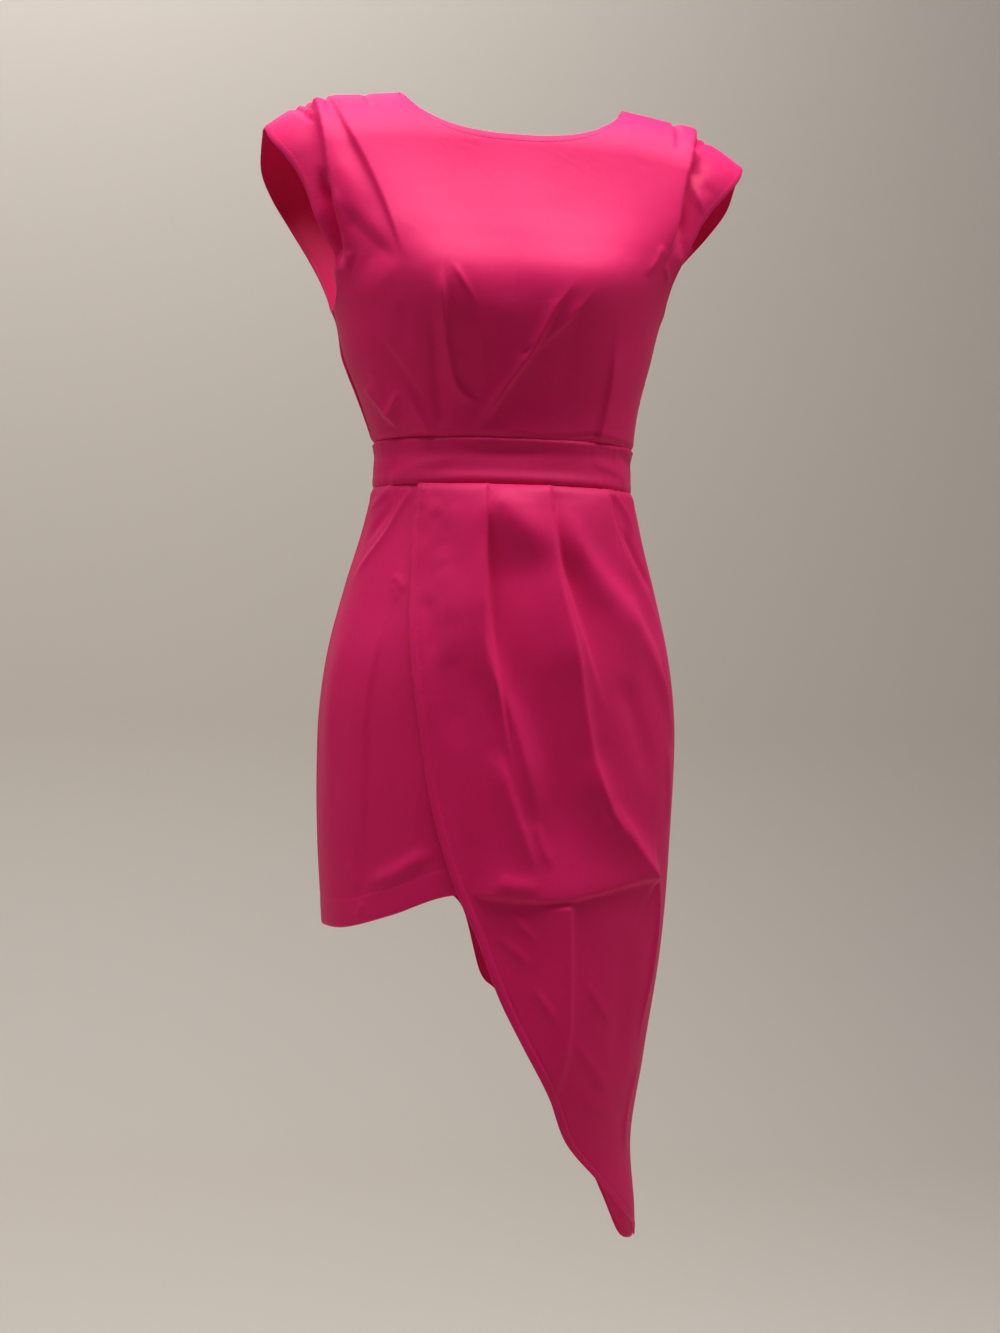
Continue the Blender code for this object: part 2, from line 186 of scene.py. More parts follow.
def smooth_path(path, count=48):
    """Evenly spread points on a cubic curve through a short given path."""
    path = np.array(path, dtype=float)
    chord = np.concatenate([[0.0], np.cumsum(np.linalg.norm(np.diff(path, axis=0), axis=1))])
    table = {"at": chord, "x": path[:, 0], "y": path[:, 1]}
    at = np.linspace(0.0, chord[-1], count)
    return np.stack([read(table, "at", "x", at), read(table, "at", "y", at)], axis=-1)


def fold(path, rise, flanks, ends=(0.25, 0.35), keen=2.0):
    """One fold of the cloth, laid along a short path.

    flanks are its widths to the left and right of somebody who walks the path with the cloth's outside
    up. Equal ones make a ridge, or a trough if rise is below 0, and unequal ones a fold that drops
    steeply on one side. ends are the parts of the path over which it comes and goes. A keen of 2 gives
    a round crest, and one near 1 a sharp one.
    """
    return {"path": path, "rise": rise, "flanks": flanks, "ends": ends, "keen": keen}


def crease(grid, path, rise, flanks, ends, keen):
    """How far a fold lifts each point of the cloth, by its distance from the fold's path."""
    line = smooth_path(path)
    lift = np.zeros(grid.shape[:2])
    reach = 3.0 * max(flanks)
    near = np.all((grid > line.min(0) - reach) & (grid < line.max(0) + reach), axis=-1)
    place = grid[near]
    if len(place) == 0:
        return lift
    run = np.diff(line, axis=0)
    length = np.linalg.norm(run, axis=1)
    offset = place[:, None] - line[None, :-1]
    t = np.clip((offset * run).sum(-1) / length**2, 0, 1)
    away = offset - t[..., None] * run
    distance = np.linalg.norm(away, axis=-1)
    k = distance.argmin(axis=1)
    pick = np.arange(len(place))
    turn = run[k, 0] * away[pick, k, 1] - run[k, 1] * away[pick, k, 0]
    along = (k + t[pick, k]) / len(run)
    width = np.where(turn > 0, flanks[0], flanks[1])
    taper = ease(along / max(ends[0], 1e-6)) * ease((1 - along) / max(ends[1], 1e-6))
    lift[near] = rise * taper * np.exp(-((distance[pick, k] / width) ** keen))
    return lift


def creased(grid, folds):
    """The lift of all of a piece's folds together."""
    return sum(crease(grid, **each) for each in folds)


def ripples(grid, size, height, seed):
    """Small uneven undulations of the cloth: a few long waves that cross at odd angles."""
    chance = np.random.default_rng(seed)
    total = np.zeros(grid.shape[:2])
    for _ in range(7):
        heading = chance.uniform(0, math.tau)
        pitch = size * chance.uniform(0.6, 1.7)
        wave = grid[..., 0] * math.cos(heading) + grid[..., 1] * math.sin(heading)
        total += np.sin(math.tau * wave / pitch + chance.uniform(0, math.tau))
    return height * total / 2.6


def spans(points):
    """How far each point of a grid is from its left and bottom edges along the cloth."""
    across = np.linalg.norm(np.diff(points, axis=1), axis=-1)
    up = np.linalg.norm(np.diff(points, axis=0), axis=-1)
    from_left = np.concatenate([np.zeros((len(points), 1)), np.cumsum(across, axis=1)], axis=1)
    from_bottom = np.concatenate([np.zeros((1, points.shape[1])), np.cumsum(up, axis=0)], axis=0)
    return from_left, from_bottom


def edge_distances(points):
    """How far each point of a grid is from all four edges along the cloth."""
    left, bottom = spans(points)
    return {"left": left, "right": left[:, -1:] - left, "bottom": bottom, "top": bottom[-1:] - bottom}


def outward(points):
    """The direction straight out of the cloth at each point of a grid."""
    normal = np.cross(np.gradient(points, axis=1), np.gradient(points, axis=0))
    return normal / np.linalg.norm(normal, axis=-1, keepdims=True)


def raised(points, lift):
    """The cloth's points moved out by its folds."""
    return points + lift[..., None] * outward(points)


def seam_dip(distance):
    """Cloth turns in at a sewn seam, and puffs a little beside it."""
    groove = -0.0013 * np.exp(-((distance / 0.0022) ** 2))
    beside = 0.0004 * np.exp(-(((distance - 0.007) / 0.004) ** 2))
    return groove + beside


def turned_edge(distance, width, drawn=0.0004):
    """A hem is two layers thick as far as its stitches, with a round fold at the rim.

    drawn is how deep the stitches draw the cloth in.
    """
    layer = (drawn + 0.0001) * ease((width - distance) / 0.0016 + 0.5)
    stitched = -drawn * np.exp(-(((distance - width) / 0.0011) ** 2))
    return layer + stitched - 0.0009 * np.exp(-((distance / 0.0010) ** 2))


class Wire:
    """A shader socket that takes part in Python sums."""

    def __init__(self, tree, socket):
        self.tree = tree
        self.socket = socket

    def node(self, kind, inputs, settings=(), output=0):
        """A new node with its settings, and its inputs set to values or joined to wires."""
        made = self.tree.nodes.new(kind)
        for name, value in dict(settings).items():
            setattr(made, name, value)
        for name, value in inputs.items():
            if isinstance(value, Wire):
                self.tree.links.new(value.socket, made.inputs[name])
            else:
                made.inputs[name].default_value = value
        return Wire(self.tree, made.outputs[output])

    def maths(self, operation, a, b=0.0):
        return self.node("ShaderNodeMath", {0: a, 1: b}, {"operation": operation})

    def __add__(self, other):
        return self.maths("ADD", self, other)

    def __radd__(self, other):
        return self.maths("ADD", other, self)

    def __sub__(self, other):
        return self.maths("SUBTRACT", self, other)

    def __rsub__(self, other):
        return self.maths("SUBTRACT", other, self)

    def __mul__(self, other):
        return self.maths("MULTIPLY", self, other)

    def __rmul__(self, other):
        return self.maths("MULTIPLY", other, self)

    def __truediv__(self, other):
        return self.maths("DIVIDE", self, other)

    def __rtruediv__(self, other):
        return self.maths("DIVIDE", other, self)

    def part(self, which):
        """One number of a vector wire: 0, 1 or 2."""
        return self.node("ShaderNodeSeparateXYZ", {0: self}, {}, which)

    def blend(self, low, high):
        """The colour between two, by this wire."""
        settings = {"data_type": "RGBA", "clamp_factor": True}
        return self.node("ShaderNodeMix", {0: self, 6: low, 7: high}, settings, 2)


def satin_crepe(name):
    """Pink satin crepe: a fine crepe grain over the weave, an even soft sheen, and blind stitches at hems,
    whose dents carry painted shade.

    The cut attribute holds each point's place on the flat cloth in metres. The hem attribute holds its
    distance past the hem's stitches, its place along them, and 1 on the hem itself.
    """
    material = bpy.data.materials.new(name)
    material.use_nodes = True
    tree = material.node_tree
    shader = tree.nodes["Principled BSDF"]
    start = Wire(tree, None)
    cut = start.node("ShaderNodeAttribute", {}, {"attribute_name": "cut"}, 1)
    hem = start.node("ShaderNodeAttribute", {}, {"attribute_name": "hem"}, 1)

    def noise(scale, detail, distortion=0.0):
        inputs = {"Vector": cut, "Scale": scale, "Detail": detail, "Distortion": distortion}
        return start.node("ShaderNodeTexNoise", inputs)

    cloud = noise(9.0, 3.0)
    slub = noise(260.0, 2.0)
    grain = noise(1500.0, 2.0, 0.6)
    crumple = noise(34.0, 2.0, 1.2)
    # The weave's threads lie 0.55 mm apart one way and 0.62 mm the other, a little unevenly.
    across = cut.part(0)
    length = cut.part(1)
    warp = start.maths("SINE", (across + grain * 0.0004) * (math.tau / 0.00055))
    weft = start.maths("SINE", (length + grain * 0.0004) * (math.tau / 0.00062))
    weave = warp * weft
    # The blind stitches: small dents in a row, one every 6.2 mm, each with painted shade in it.
    near = hem.part(0) / 0.0008
    every = start.maths("COSINE", hem.part(1) * (math.tau / 0.0062)) * 0.5 + 0.5
    stitch_dent_and_shade = start.maths("EXPONENT", 0.0 - near * near) * every * every
    # Hems are a little lighter in tone and a little smoother than the rest.
    pressed = hem.part(2)

    # Painted shade darkens the colour in the stitch dents.
    tone = (cloud - 0.5) * 0.9 + (slub - 0.5) * 0.35 + 0.5 + pressed * 0.12 - stitch_dent_and_shade * 0.4
    low = (0.68, 0.004, 0.102, 1.0)
    high = (0.82, 0.009, 0.148, 1.0)
    tree.links.new(tone.blend(low, high).socket, shader.inputs["Base Color"])
    rough = 0.56 + (grain - 0.5) * 0.14 + (cloud - 0.5) * 0.08 - pressed * 0.03
    tree.links.new(rough.socket, shader.inputs["Roughness"])
    relief = grain * 0.6 + weave * 0.25 + slub * 0.5 + crumple * 4.0 - stitch_dent_and_shade * 2.5
    bump = start.node("ShaderNodeBump", {"Height": relief, "Strength": 0.35, "Distance": 0.00025})
    tree.links.new(bump.socket, shader.inputs["Normal"])
    shader.inputs["Specular IOR Level"].default_value = 0.22
    shader.inputs["Sheen Weight"].default_value = 0.06
    shader.inputs["Sheen Roughness"].default_value = 0.5
    shader.inputs["Sheen Tint"].default_value = (1.0, 0.5, 0.72, 1.0)
    return material


pink_crepe = satin_crepe("pink_satin_crepe")


def cloth(name, points, marks, node):
    """A thin sewn piece over a grid of points, which rides on the dress and stands for its solid."""
    rows, columns = points.shape[:2]
    index = np.arange(rows * columns).reshape(rows, columns)
    corners = np.stack([index[:-1, :-1], index[:-1, 1:], index[1:, 1:], index[1:, :-1]], axis=-1)
    mesh = bpy.data.meshes.new(name)
    mesh.from_pydata(points.reshape(-1, 3).tolist(), [], corners.reshape(-1, 4).tolist())
    across, up = spans(points)
    place = np.stack([across - across.mean(), up, 0 * up], axis=-1)
    mesh.attributes.new("cut", "FLOAT_VECTOR", "POINT").data.foreach_set("vector", place.reshape(-1))
    mesh.attributes.new("hem", "FLOAT_VECTOR", "POINT").data.foreach_set("vector", marks.reshape(-1))
    mesh.materials.append(pink_crepe)
    mesh.shade_smooth()
    piece = bpy.data.objects.new(name, mesh)
    bpy.context.scene.collection.objects.link(piece)
    thick = piece.modifiers.new("cloth thickness", "SOLIDIFY")
    thick.thickness = CLOTH
    thick.offset = -1.0
    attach(piece, "root")
    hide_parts(node)


# Paths are (across, height) on the front as it is seen, from the shoulder down.
left_shoulder_folds = (
    # The edge of the chest's pleat.
    fold(
        (
            (-0.174, -0.016), (-0.158, -0.044), (-0.137, -0.078),
            (-0.118, -0.115), (-0.107, -0.145), (-0.099, -0.176),
        ),
        0.0048, (0.026, 0.0022), ends=(0.02, 0.25), keen=1.4,
    ),
    # The roll of cloth beside it, the shaded valley that it ends in, its own steep outer edge, and the
    # deep recess that parts off the cap.
    fold(
        ((-0.182, -0.028), (-0.171, -0.054), (-0.159, -0.084), (-0.145, -0.110), (-0.128, -0.134)),
        0.0050, (0.013, 0.012), ends=(0.02, 0.45),
    ),
    fold(
        ((-0.162, -0.118), (-0.149, -0.136), (-0.134, -0.152), (-0.119, -0.166), (-0.105, -0.180)),
        -0.0056, (0.0095, 0.034), ends=(0.35, 0.35),
    ),
    fold(
        (
            (-0.186, -0.024), (-0.174, -0.065), (-0.168, -0.089),
            (-0.161, -0.119), (-0.156, -0.148), (-0.154, -0.174),
        ),
        0.0068, (0.012, 0.0020), ends=(0.02, 0.25), keen=1.4,
    ),
    fold(
        ((-0.1745, -0.084), (-0.1695, -0.106), (-0.1645, -0.128), (-0.1605, -0.150), (-0.159, -0.178)),
        -0.0125, (0.0042, 0.0064), ends=(0.35, 0.20),
    ),
    fold(((-0.150, -0.161), (-0.149, -0.169), (-0.152, -0.179)), 0.0018, (0.0030, 0.0030)),
    # Small tucks along the shoulder seam.
    fold(((-0.204, -0.028), (-0.196, -0.037), (-0.184, -0.051)), -0.0034, (0.0022, 0.0030), ends=(0.1, 0.3)),
    fold(((-0.196, -0.022), (-0.188, -0.034), (-0.181, -0.043)), -0.0026, (0.0022, 0.0026), ends=(0.1, 0.4)),
    fold(((-0.139, -0.004), (-0.136, -0.016), (-0.133, -0.032)), -0.0022, (0.0024, 0.0036), ends=(0.1, 0.6)),
)
right_shoulder_folds = (
    # A long pleat that drops outwards, and the recess beside it.
    fold(
        (
            (0.178, -0.014), (0.170, -0.042), (0.163, -0.073),
            (0.158, -0.115), (0.149, -0.143), (0.136, -0.172),
        ),
        0.0066, (0.0026, 0.024), ends=(0.02, 0.40), keen=1.4,
    ),
    fold(
        ((0.180, -0.040), (0.171, -0.075), (0.166, -0.112), (0.158, -0.150)),
        -0.0078, (0.0085, 0.0044), ends=(0.20, 0.35),
    ),
    # Short tucks round its head.
    fold(((0.157, -0.010), (0.157, -0.028), (0.153, -0.052)), -0.0034, (0.0024, 0.0036), ends=(0.02, 0.5)),
    fold(
        ((0.194, -0.024), (0.185, -0.028), (0.176, -0.034), (0.170, -0.046)),
        -0.0034, (0.0026, 0.0028), ends=(0.1, 0.3),
    ),
    fold(((0.184, -0.018), (0.179, -0.026), (0.174, -0.036)), -0.0024, (0.0024, 0.0030), ends=(0.1, 0.4)),
    # Thin drag lines over the cap and down to the armhole.
    fold(
        ((0.166, -0.054), (0.172, -0.070), (0.180, -0.088), (0.188, -0.104)),
        0.0022, (0.0028, 0.0044), keen=1.4,
    ),
    fold(((0.176, -0.056), (0.184, -0.072), (0.192, -0.088)), -0.0013, (0.0056, 0.0050)),
    fold(((0.165, -0.090), (0.167, -0.122), (0.168, -0.154)), -0.0026, (0.0036, 0.0040)),
    fold(((0.144, -0.138), (0.136, -0.156), (0.125, -0.174)), 0.0020, (0.0030, 0.0034), keen=1.4),
    fold(((0.147, -0.156), (0.150, -0.166), (0.153, -0.176)), 0.0014, (0.0026, 0.0026), keen=1.4),
)
waist_folds = (
    # The short pleats at the waist seam.
    fold(
        ((-0.107, -0.266), (-0.090, -0.299), (-0.076, -0.327)),
        0.0028, (0.0026, 0.011), ends=(0.6, 0.0), keen=1.5,
    ),
    fold(
        ((0.098, -0.210), (0.094, -0.263), (0.088, -0.292), (0.078, -0.327)),
        0.0032, (0.012, 0.0026), ends=(0.6, 0.0), keen=1.5,
    ),
    fold(((0.028, -0.3255), (0.052, -0.3235), (0.079, -0.3195)), -0.0022, (0.0018, 0.0022), ends=(0.4, 0.1)),
    # Drag lines from the waist up to the bust: crisp crests, each with a shaded lower flank.
    fold(
        ((0.060, -0.180), (0.039, -0.207), (0.018, -0.247), (-0.009, -0.283), (-0.038, -0.323)),
        0.0044, (0.0026, 0.0070), ends=(0.40, 0.18), keen=1.12,
    ),
    fold(
        ((0.078, -0.188), (0.045, -0.224), (0.016, -0.252)),
        0.0024, (0.0026, 0.0052), ends=(0.5, 0.4), keen=1.2,
    ),
    fold(((0.018, -0.244), (0.012, -0.249), (0.008, -0.256)), -0.0016, (0.0030, 0.0030)),
    fold(
        (
            (-0.068, -0.176), (-0.065, -0.215), (-0.058, -0.255),
            (-0.050, -0.284), (-0.038, -0.294), (-0.024, -0.296),
        ),
        0.0042, (0.0026, 0.0074), ends=(0.20, 0.20), keen=1.12,
    ),
    fold(
        ((-0.060, -0.172), (-0.051, -0.186), (-0.043, -0.199), (-0.033, -0.216)),
        0.0013, (0.0030, 0.0024), ends=(0.3, 0.6), keen=1.4,
    ),
    fold(
        ((-0.131, -0.276), (-0.118, -0.297), (-0.103, -0.319)),
        0.0034, (0.0060, 0.0028), ends=(0.2, 0.2), keen=1.3,
    ),
    fold(
        ((-0.102, -0.286), (-0.108, -0.299), (-0.114, -0.310)),
        0.0026, (0.0026, 0.0040), ends=(0.2, 0.2), keen=1.3,
    ),
    fold(((-0.127, -0.262), (-0.120, -0.280), (-0.112, -0.296)), 0.0009, (0.0040, 0.0040)),
    fold(((-0.077, -0.200), (-0.071, -0.250), (-0.068, -0.322)), -0.0022, (0.0080, 0.0050), ends=(0.4, 0.1)),
    fold(((-0.128, -0.228), (-0.100, -0.269), (-0.073, -0.308)), -0.0017, (0.0040, 0.0090), ends=(0.3, 0.2)),
    # Softer slack under the bust and on the chest.
    fold(((-0.030, -0.215), (-0.028, -0.250), (-0.030, -0.300)), 0.0012, (0.0060, 0.0120)),
    fold(((0.052, -0.214), (0.050, -0.250), (0.046, -0.300)), -0.0010, (0.0100, 0.0080)),
    fold(((-0.098, -0.205), (-0.100, -0.235), (-0.094, -0.262)), -0.0010, (0.0070, 0.0070)),
)
front_folds = left_shoulder_folds + right_shoulder_folds + waist_folds


def with_allowance(points, marks, side, depth=0.0035, inwards=0.0016):
    """Adds the strip of cloth beyond a seam, turned in behind it, along one side of a piece."""
    axis = 0 if side in ("bottom", "top") else 1
    first = side in ("bottom", "left")
    edge, inner = (0, 1) if first else (-1, -2)
    rim = points.take(edge, axis)
    beyond = rim - points.take(inner, axis)
    beyond = beyond / np.linalg.norm(beyond, axis=-1, keepdims=True)
    strip = rim + depth * beyond - inwards * outward(points).take(edge, axis)

    def joined(grid, line):
        line = np.expand_dims(line, axis)
        return np.concatenate([line, grid] if first else [grid, line], axis=axis)

    return joined(points, strip), joined(marks, marks.take(edge, axis))


def hem_marks(*hems):
    """Each point's distance past the stitches of the nearest hem, its place along them, and 1 on a hem.

    A hem is the distance from its rim, its width, and the place along it.
    """
    past = np.stack([rim - width for rim, width, _ in hems])
    along = np.stack([np.broadcast_to(place, past[0].shape) for _, _, place in hems])
    pick = np.abs(past).argmin(axis=0)[None]
    near = np.take_along_axis(past, pick, axis=0)[0]
    place = np.take_along_axis(along, pick, axis=0)[0]
    return np.stack([near, place, ease(0.5 - near / 0.003)], axis=-1)


def bodice_front():
    rows = bodice_rows(76, 112)
    right = bodice_side(rows, "front")
    across = -np.cos(np.pi * evenly(236))
    seam = shoulder_seam(54)
    neck_out = NECK_HALF_WIDTH * np.sin(np.pi * (evenly(128) - 0.5))
    neck = plane_points(neck_out, read(neckline, "out", "height", np.abs(neck_out)))
    top = np.concatenate([mirrored(seam)[:0:-1], neck, seam[1:]])
    bottom = plane_points(WAIST_HALF_WIDTH * across, BAND_TOP)
    plane = patch(bottom, top, mirrored(right), right, rows)
    points = on_bodice(plane, "front")
    away = edge_distances(points)
    sides = np.minimum(away["left"], away["right"])
    seamed = rows[:, None] <= SEAMED_SHARE
    on_shoulder = np.abs(plane[-1, :, 0]) > NECK_HALF_WIDTH
    # The ripples fade near the seams, and the waist seam holds the folds down.
    near_seam = np.minimum(np.where(seamed, sides, 1.0), np.where(on_shoulder, away["top"], 1.0))
    lift = ripples(plane, 0.11, 0.0005, 3) * ease(near_seam / 0.012) + creased(plane, front_folds)
    lift *= ease(away["bottom"] / 0.010 + 0.1)
    neck_edge = turned_edge(away["top"], NECK_HEM, 0.00012)
    lift += seam_dip(away["bottom"]) + np.where(on_shoulder, seam_dip(away["top"]), neck_edge)
    lift += np.where(seamed, seam_dip(sides), turned_edge(sides, ARMHOLE_HEM, 0.00016))
    points = raised(points, lift)
    neck_hem = (np.where(on_shoulder, 1.0, away["top"]), NECK_HEM, away["left"])
    armhole_hem = (np.where(seamed, 1.0, sides), ARMHOLE_HEM, away["bottom"])
    marks = hem_marks(neck_hem, armhole_hem)
    # The sides have an allowance below the underarm, and only a rounded rim along the armhole.
    behind = 0.0004 + 0.0030 * seamed
    for side in ("left", "right"):
        points, marks = with_allowance(points, marks, side, behind, 0.5 * behind)
    return with_allowance(points, marks, "bottom")


made, marks = bodice_front()
cloth("front_bodice", made, marks, "bodice_front")

# The back bodice: two plain halves, each with the back of its cap, from the shoulder seams down to the
# waistband. Between them the back is bare. Their inner edges are turned like the neck's.

bare_back = {
    "height": (-0.327, -0.300, -0.250, -0.180, -0.100, 0.000),
    "out": (0.006, 0.032, 0.062, 0.085, 0.099, 0.107),
}
back_folds = (
    fold(
        ((0.174, -0.018), (0.158, -0.060), (0.138, -0.110), (0.124, -0.165)),
        0.0046, (0.0030, 0.020), ends=(0.02, 0.5), keen=1.5,
    ),
    fold(((0.182, -0.030), (0.170, -0.070), (0.156, -0.120), (0.146, -0.160)), -0.0034, (0.009, 0.005)),
    fold(((0.156, -0.012), (0.153, -0.028), (0.148, -0.048)), -0.0024, (0.0030, 0.0036), ends=(0.02, 0.5)),
    fold(
        ((0.112, -0.236), (0.097, -0.285), (0.088, -0.327)),
        0.0028, (0.010, 0.0028), ends=(0.6, 0.0), keen=1.5,
    ),
    fold(((0.146, -0.212), (0.120, -0.246), (0.078, -0.292)), 0.0020, (0.0040, 0.010), keen=1.4),
    fold(((0.128, -0.230), (0.104, -0.252), (0.086, -0.266)), 0.0012, (0.0036, 0.007), keen=1.4),
    fold(((0.092, -0.120), (0.104, -0.170), (0.120, -0.215)), 0.0014, (0.010, 0.012)),
)


def back_half(side):
    """One half of the back: side is 1 for the right one and -1 for the left one."""
    rows = bodice_rows(56, 72)
    outer = bodice_side(rows, "back")
    height = BAND_TOP * (1 - rows)
    inner = plane_points(read(bare_back, "height", "out", height), height)
    reach = inner[0][0] + (outer[0][0] - inner[0][0]) * np.cos(np.pi / 2 * evenly(80))
    bottom = plane_points(reach, BAND_TOP)
    plane = patch(bottom, shoulder_seam(80)[::-1], outer, inner, rows)
    lift = creased(plane, back_folds)
    seamed = rows[:, None] <= SEAMED_SHARE
    # The left half is the right one mirrored, with its folds a little shallower.
    if side < 0:
        plane = mirrored(plane)[:, ::-1]
        lift = 0.8 * lift[:, ::-1]
    points = on_bodice(plane, "back")
    away = edge_distances(points)
    outside = away["left"] if side > 0 else away["right"]
    inside = away["right"] if side > 0 else away["left"]
    near_seam = np.minimum(np.where(seamed, outside, 1.0), away["top"])
    lift += ripples(plane, 0.10, 0.0005, 8 + side) * ease(near_seam / 0.012)
    # The front's pleats go on over the shoulder seam, and fade into the back's own folds.
    carried = ease((0.070 - away["top"]) / 0.055)
    over = creased(plane, left_shoulder_folds if side < 0 else right_shoulder_folds)
    lift = lift * (1 - carried) + over * carried
    lift *= ease(away["bottom"] / 0.010 + 0.1)
    lift += seam_dip(away["bottom"]) + seam_dip(away["top"]) + turned_edge(inside, NECK_HEM)
    lift += np.where(seamed, seam_dip(outside), turned_edge(outside, ARMHOLE_HEM))
    points = raised(points, lift)
    inner_hem = (inside, NECK_HEM, away["bottom"])
    armhole_hem = (np.where(seamed, 1.0, outside), ARMHOLE_HEM, away["bottom"])
    marks = hem_marks(inner_hem, armhole_hem)
    for edge in ("bottom", "top"):
        points, marks = with_allowance(points, marks, edge)
    return points, marks


made, marks = back_half(-1)
cloth("left_back", made, marks, "bodice_back_left")
made, marks = back_half(1)
cloth("right_back", made, marks, "bodice_back_right")

# The waistband: an inset band of two halves, sewn at the sides, between the bodice and the skirt. It
# sits flat and tight, with faint puckers at its two long seams.

HIP_RADIUS = 0.150

skirt_shape = {
    "height": (
        -1.085, -1.050, -0.980, -0.900, -0.820, -0.760, -0.700,
        -0.640, -0.580, -0.520, -0.460, -0.405, -0.370, -0.327,
    ),
    "width": (
        0.1430, 0.1415, 0.1350, 0.1465, 0.1580, 0.1635, 0.1675,
        0.1695, 0.1685, 0.1610, 0.1460, 0.1300, 0.1232, 0.1236,
    ),
    "front": (
        0.0860, 0.0920, 0.1010, 0.1080, 0.1120, 0.1140, 0.1160,
        0.1180, 0.1190, 0.1180, 0.1120, 0.1030, 0.0970, 0.0970,
    ),
    "back": (
        0.0800, 0.0850, 0.0900, 0.0960, 0.1020, 0.1070, 0.1140,
        0.1230, 0.1300, 0.1280, 0.1160, 0.1010, 0.0880, 0.0850,
    ),
}


def on_skirt(angle, height, lift=0.0):
    """Points of the waistband or skirt at an angle from the centre front, lifted off its plain shape."""
    turn = np.radians(angle)
    front = np.cos(turn) >= 0
    width = read(skirt_shape, "height", "width", height) + lift
    front_depth = read(skirt_shape, "height", "front", height)
    back_depth = read(skirt_shape, "height", "back", height)
    deep = np.where(front, front_depth, back_depth) + lift
    away = np.sqrt(np.clip(1 - np.abs(np.sin(turn)) ** OVAL_POWER, 0, 1)) * np.where(front, -1, 1)
    return np.stack([width * np.sin(turn), deep * away, height + 0 * turn], axis=-1)


def unrolled(angle, height):
    """The cloth's own plane: metres round the dress at hip size, and height."""
    return np.stack([np.radians(angle) * HIP_RADIUS, height + 0 * angle], axis=-1)


def puckers(angle, distance, seed):
    """Short ripples that a tight line of stitches leaves beside a seam."""
    chance = np.random.default_rng(seed)
    total = 0 * angle
    for _ in range(5):
        total = total + np.sin(angle * chance.uniform(0.5, 1.3) + chance.uniform(0, math.tau))
    return 0.00012 * total * np.exp(-distance / 0.009)


# Paths below the bodice are (angle from the centre front, height), from the waist down.
band_folds = (
    fold(((-34, -0.336), (-8, -0.342), (22, -0.338)), -0.0014, (0.0070, 0.0080)),
    fold(((-66, -0.362), (-44, -0.353), (-22, -0.346)), 0.0012, (0.0050, 0.0080)),
    fold(((34, -0.344), (52, -0.352), (70, -0.362)), 0.0011, (0.0080, 0.0050)),
    fold(((52, -0.332), (68, -0.340), (84, -0.350)), -0.0012, (0.0050, 0.0060)),
    fold(((196, -0.334), (216, -0.344), (240, -0.350)), 0.0011, (0.0060, 0.0080)),
    fold(((112, -0.354), (134, -0.348), (158, -0.338)), -0.0011, (0.0060, 0.0080)),
)


def around_the_hip(folds):
    """Folds whose paths are (angle, height), as folds over the unrolled cloth."""
    paths = [[(math.radians(a) * HIP_RADIUS, z) for a, z in each["path"]] for each in folds]
    return [dict(each, path=path) for each, path in zip(folds, paths)]


def ridge(distance, centre, width):
    """A round ridge of height 1 that runs along an edge, at a distance from it."""
    return np.exp(-(((distance - centre) / width) ** 2))


def no_hem(grid):
    """Marks for a piece with no hem."""
    return np.stack([0 * grid + 1, 0 * grid, 0 * grid], axis=-1)


def waistband(start, end, seed):
    """Half of the band between two angles from the centre front."""
    angle = (start + (end - start) * evenly(180))[None, :]
    height = BAND_BOTTOM + (BAND_TOP - BAND_BOTTOM) * evenly(30)[:, None] + 0 * angle
    angle = angle + 0 * height
    points = on_skirt(angle, height)
    grid = unrolled(angle, height)
    away = edge_distances(points)
    lift = ripples(grid, 0.09, 0.0003, seed) + creased(grid, around_the_hip(band_folds))
    for edge in ("left", "right", "bottom", "top"):
        lift += seam_dip(away[edge])
    lift += puckers(angle, away["top"], seed) + puckers(angle, away["bottom"], seed + 1)
    # The pleats under it push its lower edge out, and a hollow and a thin ridge run along its top.
    over_pleats = ease(1.3 - np.abs(angle) / 60.0)
    lift += 0.0028 * over_pleats * ridge(away["bottom"], 0.004, 0.008)
    lift += 0.0009 * ridge(away["top"], 0.0028, 0.0016) - 0.0013 * ridge(away["top"], 0.013, 0.008)
    return raised(points, lift), no_hem(lift)


made, marks = waistband(-90.0, 90.0, 21)
cloth("front_waistband", made, marks, "waistband_front")
made, marks = waistband(90.0, 270.0, 31)
cloth("back_waistband", made, marks, "waistband_back")

# The short front skirt, which lies under the wrap and shows at the left: one plain panel, close to the
# hip, with a hem turned up 26 mm and blind stitched.

SHORT_HEM = 0.026

